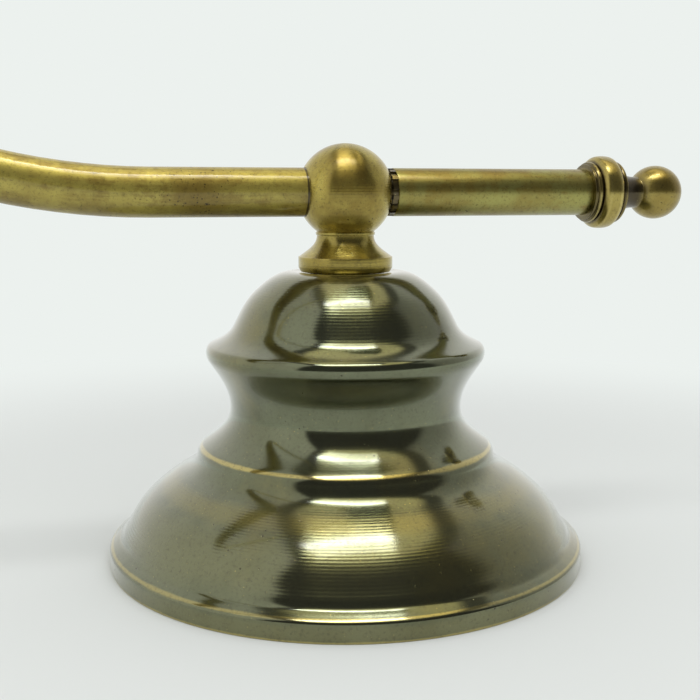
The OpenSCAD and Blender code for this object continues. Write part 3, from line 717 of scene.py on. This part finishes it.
class LAMP_OT_finial(LampPiece, bpy.types.Operator):
    """Turns the finial's collar with lip, bead, ring and disc, and its knob"""

    bl_idname = "wall_lamp.finial"
    bl_label = "Finial"

    def execute(self, context):
        sizes, colours = settings(context)
        # The finial has finer edges than the other pieces
        edge = sizes.edge * 0.6
        base = high("tail_tube").x
        stud_r, stud_gap, spigot = 2.5, 2.0, 9.0
        lip_r, lip, bead_r, bead = 7.3, 0.7, 7.7, 1.2
        ring_r, ring, band_r, shoulder, shoulder_drop = 9.5, 5.4, 8.3, 1.2, 0.15
        disc_r, disc, cove, cove_l = 7.9, 1.1, 0.35, 0.3
        knob_r, reach, neck_r, flare, plinth, throat = 7.1, 12.4, 4.1, 1.5, 0.4, 1.2
        bore, shoulder_r = stud_r + SCREW_GAP, ring_r - shoulder_drop
        ring_from = lip + bead + cove_l
        ring_end = ring_from + ring
        disc_from = ring_end + cove_l
        end = disc_from + disc

        outline = [(bore, -spigot), (PIVOT_R, -spigot), (PIVOT_R, 0.0), (lip_r, 0.0), (lip_r, lip)]
        outline += smooth_outline([(bead_r, lip, 40), (bead_r, lip + bead, 140)])
        outline += [(bead_r - cove, ring_from - cove_l / 2)]
        outline += smooth_outline([(band_r, ring_from, 35), (shoulder_r, ring_from + shoulder, 78),
                                   (ring_r, ring_from + ring / 2, 90), (shoulder_r, ring_end - shoulder, 102),
                                   (band_r, ring_end, 145)])
        outline += [(disc_r - cove, disc_from - cove_l / 2)]
        outline += smooth_outline([(disc_r, disc_from, 35), (disc_r, end, 145)])
        outline += [(bore, end), (bore, -spigot)]
        collar = turned(ROD_AXIS, [(r, base + h) for r, h in outline])

        ball = ball_on_neck(knob_r, reach, neck_r, steps=36)
        neck_end = ball[0][1]
        stud_end = stud_gap - end - spigot
        outline = [(0.0, stud_end), (stud_r, stud_end), (stud_r, 0.0), (neck_r + flare, 0.0)]
        outline += smooth_outline([(neck_r + flare, plinth, 115), (neck_r, neck_end - throat, 92)])
        knob = turned(ROD_AXIS, [(r, base + end + h) for r, h in outline + ball])

        # The dark rings in the coves are tarnish; the dark rings at the lip, where the tube meets the collar,
        # and in the knob's neck are painted shade, and the bright rings at the bead and the ring's shoulders
        # are painted highlight lines
        marks = [(lip_r, base, 2.0, 0.75, colours.pit_and_shade),
                 (bead_r - cove, base + ring_from, 1.2, 0.9, colours.pit_and_shade),
                 (disc_r - cove, base + disc_from, 1.3, 0.9, colours.pit_and_shade),
                 (neck_r, base + end + 3.0, 5.6, 0.95, colours.pit_and_shade),
                 (bead_r + 0.2, base + lip + bead / 2, 0.35, 0.5, colours.worn_and_highlit),
                 (shoulder_r, base + ring_from + shoulder, 0.4, 0.4, colours.worn_and_highlit),
                 (shoulder_r, base + ring_end - shoulder, 0.45, 0.8, colours.worn_and_highlit)]
        skin = brass("finial_brass", ROD_AXIS, colours.brown, colours.warm_deep, marks, lines=0.3, pitch=0.6,
                     rough=0.3, stretch=0.6, coat=0.5, lacquer=0.15)
        settle(soften(collar, edge), "finial_rings", "arm", "finial_brass", ["finial_collar"], skin)
        settle(soften(knob, edge), "finial_end", "arm", "finial_brass", ["finial_knob"], skin)
        return {"FINISHED"}


class LAMP_OT_lampholder(LampPiece, bpy.types.Operator):
    """Turns the lampholder's cap and its flanged skirt"""

    bl_idname = "wall_lamp.lampholder"
    bl_label = "Lampholder"

    def execute(self, context):
        sizes, colours = settings(context)
        wall, bore = 1.3, PIVOT_R + SCREW_GAP
        boss_r, boss, boss_edge = 8.0, 6.0, 0.4
        cap_r, shoulder, cap = 20.5, 17.0, 31.0
        face = [(boss_r, boss, 88), (cap_r, shoulder, 90)]
        outer = [(bore, 0.0), (boss_r - boss_edge, 0.0), (boss_r, boss_edge)]
        outer += smooth_outline(face, steps=16) + [(cap_r, cap)]
        inner = [(cap_r, cap), (cap_r - wall, cap)] + smooth_outline(moved_knots(face, wall), steps=16)[::-1]
        bm = turned(HOLDER_AXIS, outer, inner + [(bore, boss), (bore, 0.0)])
        marks = [(cap_r, cap, 0.6, 0.5, colours.worn_and_highlit), (boss_r, boss, 1.2, 0.7, colours.pit_and_shade)]
        skin = brass("holder_brass", HOLDER_AXIS, colours.warm, colours.warm_deep, marks, lines=0.6,
                     pitch=0.8, rough=0.28, stretch=0.8, coat=0.5, lacquer=0.15)
        settle(soften(bm, sizes.edge), "holder_shell", "arm", "holder_brass", ["holder_cap"], skin, skin)
        tuck, flange, flange_r, sleeve = 6.0, 2.0, 22.1, 29.0
        sleeve_bore, tuck_r = SLEEVE_R - wall, cap_r - wall - SCREW_GAP
        outer = [(sleeve_bore, cap - tuck), (tuck_r, cap - tuck), (tuck_r, cap), (flange_r, cap),
                 (flange_r, cap + flange), (SLEEVE_R, cap + flange), (SLEEVE_R, cap + sleeve),
                 (sleeve_bore, cap + sleeve), (sleeve_bore, cap - tuck)]
        bm = soften(turned(HOLDER_AXIS, outer), sizes.edge)
        settle(bm, "holder_sleeve", "arm", "holder_brass", ["holder_skirt"], skin)
        return {"FINISHED"}


class LAMP_OT_shade(LampPiece, bpy.types.Operator):
    """Spins the bell shade, olive brass outside and pale enamel inside"""

    bl_idname = "wall_lamp.shade"
    bl_label = "Shade"

    def execute(self, context):
        sizes, colours = settings(context)
        top, hole = SHADE_KNOTS[-1][1], SLEEVE_R + SCREW_GAP
        mouth = high("shade").x - ARM_END
        outer = smooth_outline(SHADE_KNOTS) + [(hole, top)]
        inner = smooth_outline(moved_knots(SHADE_KNOTS, SHEET)) + [(hole, top - SHEET), (hole, top)]
        axis = HOLDER_AXIS @ Matrix.Translation((0, 0, mouth * MM)) @ Matrix.Rotation(math.pi, 4, "X")
        bm = soften(turned(axis, outer, [outer[0]] + inner), sizes.edge)
        marks = [(72.0, mouth, 0.6, 0.8, colours.worn_and_highlit), (71.0, mouth - 3, 0.6, 0.5, colours.worn_and_highlit)]
        skin = brass("shade_brass", HOLDER_AXIS, colours.olive, colours.olive_deep, marks, pits=0.06,
                     rough=0.16, through=0.4)
        lining = glaze("shade_enamel", colours.enamel, [c * 0.9 for c in colours.enamel], (0.2, 0.14, 0.08),
                       scale=45.0, rough=0.22, coat=0.5)
        settle(bm, "bell_shade", "arm", "shade_brass", ["shade"], skin, lining)
        return {"FINISHED"}


class LAMP_OT_bulb(LampPiece, bpy.types.Operator):
    """Blows the bulb's glass and draws its stem"""

    bl_idname = "wall_lamp.bulb"
    bl_label = "Bulb"

    def execute(self, context):
        wall, rim, sunk, neck_r, globe_r, globe = 0.8, 62.0, 5.0, 12.58, 22.5, 49.0
        stem_r, stem, stem_round, foot, foot_l = 2.6, 20.5, 1.5, 4.0, 8.0
        top, base, stem_top = rim + globe, rim - sunk, rim + stem
        slant = math.radians(45)
        knots = [(neck_r, base, 90), (neck_r, rim + wall, 90), (globe_r, top - globe_r, 90),
                 (globe_r * math.cos(slant), top - globe_r * (1 - math.sin(slant)), 135), (0.0, top, 180)]
        clear = glass("bulb_glass")
        outer = smooth_outline(knots, steps=14)
        inner = smooth_outline(moved_knots(knots, wall), steps=14)
        bm = turned(HOLDER_AXIS, inner[::-1] + outer)
        settle(bm, "bulb_globe", "arm", "bulb_glass", ["bulb_glass"], clear)
        base_r = neck_r - wall - SCREW_GAP
        outline = [(0.0, base), (base_r, base), (base_r, base + wall)]
        outline += smooth_outline([(base_r - foot, base + wall, 170), (stem_r, base + foot_l, 95)])
        outline += smooth_outline([(stem_r, stem_top - stem_round, 90), (0.0, stem_top, 180)])
        settle(turned(HOLDER_AXIS, outline), "bulb_flare", "arm", "bulb_glass", ["bulb_stem"], clear)
        return {"FINISHED"}


class LAMP_OT_switch(LampPiece, bpy.types.Operator):
    """Makes the turn switch's key, a rounded thumb plate on a turned boss, and its spindle"""

    bl_idname = "wall_lamp.switch"
    bl_label = "Switch key"

    def execute(self, context):
        colours = context.scene.lamp_colours
        lo, hi = low("switch_key"), high("switch_key")
        centre = (lo + hi) / 2
        axis = Matrix.Translation((centre.x * MM, 0, centre.z * MM)) @ Matrix.Rotation(math.pi / 2, 4, "X")
        plate_t, plate_w, plate_edge = 2.6, 10.0, 0.5
        # The plate's rounded corners stop just short of each other
        corner = 0.99 * plate_w / 2
        boss_r, boss, chamfer, boss_edge, bore = 3.6, 6.0, 1.2, 0.25, 2.0 + SCREW_GAP
        skin = brass("key_brass", axis, colours.warm, colours.warm_deep, lines=0.3, rough=0.3, coat=0.5)

        bm = bmesh.new()
        middle = Vector((centre.x, lo.y + plate_w / 2, centre.z)) * MM
        size = Vector((plate_t, plate_w, hi.z - lo.z)) * MM
        bmesh.ops.create_cube(bm, size=1.0, matrix=Matrix.Translation(middle) @ Matrix.Diagonal((*size, 1.0)))
        corners = [e for e in bm.edges if abs(e.verts[0].co.x - e.verts[1].co.x) > plate_t * MM / 2]
        rounded(bm, corners, corner * MM, segments=12)
        settle(soften(bm, plate_edge * MM), "switch_plate", "switch", "holder_brass", ["switch_key"], skin)

        first = -hi.y
        outline = [(bore, first), (boss_r, first), (boss_r, first + boss - chamfer),
                   (boss_r - chamfer, first + boss), (bore, first + boss), (bore, first)]
        bm = soften(turned(axis, outline), boss_edge * MM)
        settle(bm, "switch_boss", "switch", "holder_brass", ["switch_key"], skin)

        spindle_r = (high("switch_spindle").x - low("switch_spindle").x) / 2
        first, last = -high("switch_spindle").y, -low("switch_spindle").y
        outline = [(0.0, first), (spindle_r, first), (spindle_r, last), (0.0, last)]
        bm = soften(turned(axis, outline), boss_edge * MM)
        settle(bm, "switch_pin", "switch", "holder_brass", ["switch_spindle"], skin)
        return {"FINISHED"}


class LAMP_OT_fittings(LampPiece, bpy.types.Operator):
    """Gives the solids that stay visible their finishes"""

    bl_idname = "wall_lamp.fittings"
    bl_label = "Fittings"

    def execute(self, context):
        colours = context.scene.lamp_colours
        shaded = [c * 0.5 for c in colours.warm_deep]
        zinc = steel("zinc_plate", (0.56, 0.57, 0.58), (0.36, 0.37, 0.40), rough=0.28)
        dark = steel("dark_steel", (0.16, 0.15, 0.13), (0.07, 0.065, 0.055), rough=0.35)
        teeth = brass("washer_brass", ROD_AXIS, shaded, colours.pit_and_shade, rough=0.35)
        alloy = steel("bulb_alloy", (0.72, 0.72, 0.70), (0.55, 0.55, 0.54), rough=0.25)
        screw = brass("screw_brass", CANOPY_AXIS, colours.warm, colours.warm_deep, lines=0.4)
        ring = brass("ring_brass", HOLDER_AXIS, colours.warm, colours.warm_deep, lines=0.4)
        china = glaze("porcelain", (0.82, 0.80, 0.74), (0.74, 0.72, 0.65), (0.3, 0.25, 0.18),
                      scale=120.0, rough=0.15, coat=0.6)
        resin = glaze("dark_resin", (0.022, 0.016, 0.012), (0.05, 0.028, 0.016), (0.10, 0.06, 0.03),
                      scale=150.0, rough=0.25, coat=0.3)
        finishes = {
            zinc: ["mounting_bar", "mounting_nipple", "bar_nut", "seat_washer", "seat_nut", "holder_nipple"],
            dark: ["pivot_nipple", "bulb_filament"],
            teeth: ["star_washer"],
            alloy: ["bulb_cap", "bulb_tip"],
            screw: ["terminal_screws", "earth_screw", "earth_washer"],
            ring: ["centre_contact", "screw_shell", "shade_ring"],
            china: ["terminal_block", "holder_insert"],
            resin: ["switch_housing", "bulb_insulator"],
            sheath("lead_sheath"): ["canopy_lead", "arm_lead"],
        }
        for material, nodes in finishes.items():
            for node in nodes:
                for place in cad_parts[node].material_slots:
                    place.material = material
        return {"FINISHED"}


# Stage

# Overhead light in metres: the strips' width, their middle across and their edge nearest the lamp's axis
STRIP_W = 0.50
STRIP_X = -0.03
STRIP_EDGE = -0.085
CORE_TINT = (0.97, 1.0, 1.2)
# Camera: its place and its nearest distance in metres, and the width of its sensor in millimetres
CAMERA_PLACE = (-0.07062, -0.25281, 0.09170)
CAMERA_NEAR = 0.01
SENSOR = 36.0
# Floor in metres: its radius, and where it fades into the backdrop
FLOOR_R = 4.0
FLOOR_FADE = (0.14, 0.34)
# Level of the studio's walls by the angle from the camera, to the right, in degrees. Blue is a little lower.
WALLS = [(-180, 0.88), (-150, 0.9), (-130, 0.85), (-60, 0.95), (-40, 0.9), (-36, 0.1), (74, 0.1),
         (84, 0.42), (112, 0.54), (140, 0.88), (180, 0.88)]
WALL_BLUE = 0.96
COVING = (0.16, 0.16, 0.14)
CEILING = (1.45, 1.3, 0.8)


class LAMP_OT_stage(LampPiece, bpy.types.Operator):
    """Sets up the pale floor, the surroundings, the overhead light and the camera"""

    bl_idname = "wall_lamp.stage"
    bl_label = "Stage"

    def execute(self, context):
        scene = context.scene
        stage, colours = scene.lamp_stage, scene.lamp_colours
        scene.view_settings.view_transform = "Standard"
        self.floor(scene, colours)
        self.surroundings(scene, stage, colours)
        core = self.strip(scene, "core", stage.core, depth=0.10, height=0.9)
        core.data.color = CORE_TINT
        core.visible_diffuse = False
        self.strip(scene, "halo", stage.halo, depth=0.26, height=0.905)
        view = bpy.data.cameras.new("camera")
        view.lens = stage.lens
        view.sensor_width = SENSOR
        view.clip_start = CAMERA_NEAR
        camera = bpy.data.objects.new("camera", view)
        turn = Matrix.Rotation(stage.heading, 4, "Z") @ Matrix.Rotation(math.pi / 2 - stage.pitch, 4, "X")
        camera.matrix_world = Matrix.Translation(CAMERA_PLACE) @ turn
        scene.collection.objects.link(camera)
        scene.camera = camera
        return {"FINISHED"}

    @staticmethod
    def strip(scene, name, power, depth, height):
        """A strip of the overhead light, which the camera doesn't see."""
        lamp = bpy.data.lights.new(name, "AREA")
        lamp.shape = "RECTANGLE"
        lamp.size = STRIP_W
        lamp.size_y = depth
        lamp.energy = power
        light = bpy.data.objects.new(name, lamp)
        light.location = (STRIP_X, STRIP_EDGE - depth / 2, height)
        light.visible_camera = False
        scene.collection.objects.link(light)
        return light

    @staticmethod
    def floor(scene, colours):
        """Pale paper floor that keeps the lamp's shadow and fades into the backdrop."""
        bm = bmesh.new()
        bmesh.ops.create_circle(bm, cap_ends=True, segments=96, radius=FLOOR_R)
        mesh = bpy.data.meshes.new("floor")
        bm.to_mesh(mesh)
        bm.free()
        ground = bpy.data.objects.new("floor", mesh)
        scene.collection.objects.link(ground)
        finish = Finish("floor_paper")
        place = finish.coordinates()
        shaded = [c * 0.985 for c in colours.floor]
        tone = finish.mix(finish.noise(place, scale=9.0, detail=3.0), colours.floor, shaded)
        finish.set(Base_Color=tone, Roughness=0.8, Specular_IOR_Level=0.1)
        rays = finish.rays()
        mirrored = finish.most(rays["Is Glossy Ray"], rays["Is Transmission Ray"])
        shown = finish.most(rays["Is Camera Ray"], mirrored)
        distance = finish.add("ShaderNodeVectorMath", {0: place}, output="Value", operation="LENGTH")
        away = finish.fade(distance, *FLOOR_FADE)
        glow = finish.add("ShaderNodeEmission", {"Color": (*colours.backdrop, 1.0)})
        blend = finish.add("ShaderNodeMixShader", {
            0: finish.times(shown, away), 1: finish.shader.outputs[0], 2: glow})
        finish.put(finish.tree.nodes["Material Output"].inputs["Surface"], blend)
        mesh.materials.append(finish.material)

    @staticmethod
    def surroundings(scene, stage, colours):
        """Pale backdrop for the camera, a studio with a darker front for reflections, and an even fill."""
        world = bpy.data.worlds.new("studio")
        world.use_nodes = True
        scene.world = world
        studio = Nodes(world.node_tree)
        way = studio.add("ShaderNodeTexCoord", output="Generated")
        way = studio.add("ShaderNodeVectorRotate", {"Vector": way, "Angle": -stage.heading},
                         rotation_type="Z_AXIS")
        right, back, up = studio.apart(way)
        angle = studio.math("ARCTAN2", right, studio.times(back, -1.0))
        walls = studio.add("ShaderNodeValToRGB", {0: studio.fade(angle, -math.pi, math.pi, change="LINEAR")})
        ramp = walls.node.color_ramp
        while len(ramp.elements) < len(WALLS):
            ramp.elements.new(0.5)
        # All places come before the colours, because setting a place can sort the stops
        for element, (degrees, level) in zip(ramp.elements, WALLS):
            element.position = (degrees + 180) / 360
        for element, (degrees, level) in zip(ramp.elements, WALLS):
            element.color = (level, level, level * WALL_BLUE, 1.0)
        # The ceiling's edge is an arch, highest on the left, with a dark coving under it
        crest, sag, least = (math.radians(degrees) for degrees in (74, 15, 57))
        lean = studio.math("DIVIDE", studio.plus(angle, math.pi / 2), math.pi / 3)
        arch = studio.math("MULTIPLY_ADD", studio.times(lean, lean), -sag, crest)
        over = studio.minus(studio.math("ARCSINE", up), studio.most(arch, least))
        room = studio.mix(studio.fade(over, math.radians(-5), math.radians(-2)), walls, COVING)
        room = studio.mix(studio.fade(over, math.radians(2), math.radians(7)), room, CEILING)
        rays = studio.rays()
        light = studio.mix(rays["Is Glossy Ray"], [stage.fill] * 3, room)
        clear = studio.most(rays["Is Camera Ray"], rays["Is Transmission Ray"])
        light = studio.mix(clear, light, colours.backdrop)
        studio.put(studio.tree.nodes["Background"].inputs["Color"], light)


OPERATORS = [
    LAMP_OT_canopy, LAMP_OT_knuckle, LAMP_OT_arm, LAMP_OT_tail, LAMP_OT_finial, LAMP_OT_lampholder,
    LAMP_OT_shade, LAMP_OT_bulb, LAMP_OT_switch, LAMP_OT_fittings, LAMP_OT_stage,
]


class LAMP_PT_sidebar(bpy.types.Panel):
    """Lists the lamp's pieces and its stage"""

    bl_idname = "LAMP_PT_sidebar"
    bl_label = "Wall lamp"
    bl_space_type = "VIEW_3D"
    bl_region_type = "UI"
    bl_category = "Wall lamp"

    def draw(self, context):
        for operator in OPERATORS:
            self.layout.operator(operator.bl_idname)
        for group in (context.scene.lamp_sizes, context.scene.lamp_colours, context.scene.lamp_stage):
            for name in group.__annotations__:
                self.layout.prop(group, name)


CLASSES = [LampSizes, LampColours, LampStage, *OPERATORS, LAMP_PT_sidebar]


def register():
    for cls in CLASSES:
        bpy.utils.register_class(cls)
    bpy.types.Scene.lamp_sizes = PointerProperty(type=LampSizes)
    bpy.types.Scene.lamp_colours = PointerProperty(type=LampColours)
    bpy.types.Scene.lamp_stage = PointerProperty(type=LampStage)


def unregister():
    del bpy.types.Scene.lamp_stage
    del bpy.types.Scene.lamp_colours
    del bpy.types.Scene.lamp_sizes
    for cls in reversed(CLASSES):
        bpy.utils.unregister_class(cls)


def main():
    """Builds the stage and every piece."""
    register()
    bpy.ops.wall_lamp.stage()
    bpy.ops.wall_lamp.canopy()
    bpy.ops.wall_lamp.knuckle()
    bpy.ops.wall_lamp.arm()
    bpy.ops.wall_lamp.tail()
    bpy.ops.wall_lamp.finial()
    bpy.ops.wall_lamp.lampholder()
    bpy.ops.wall_lamp.shade()
    bpy.ops.wall_lamp.bulb()
    bpy.ops.wall_lamp.switch()
    bpy.ops.wall_lamp.fittings()
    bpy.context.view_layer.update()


if __name__ == "__main__":
    main()
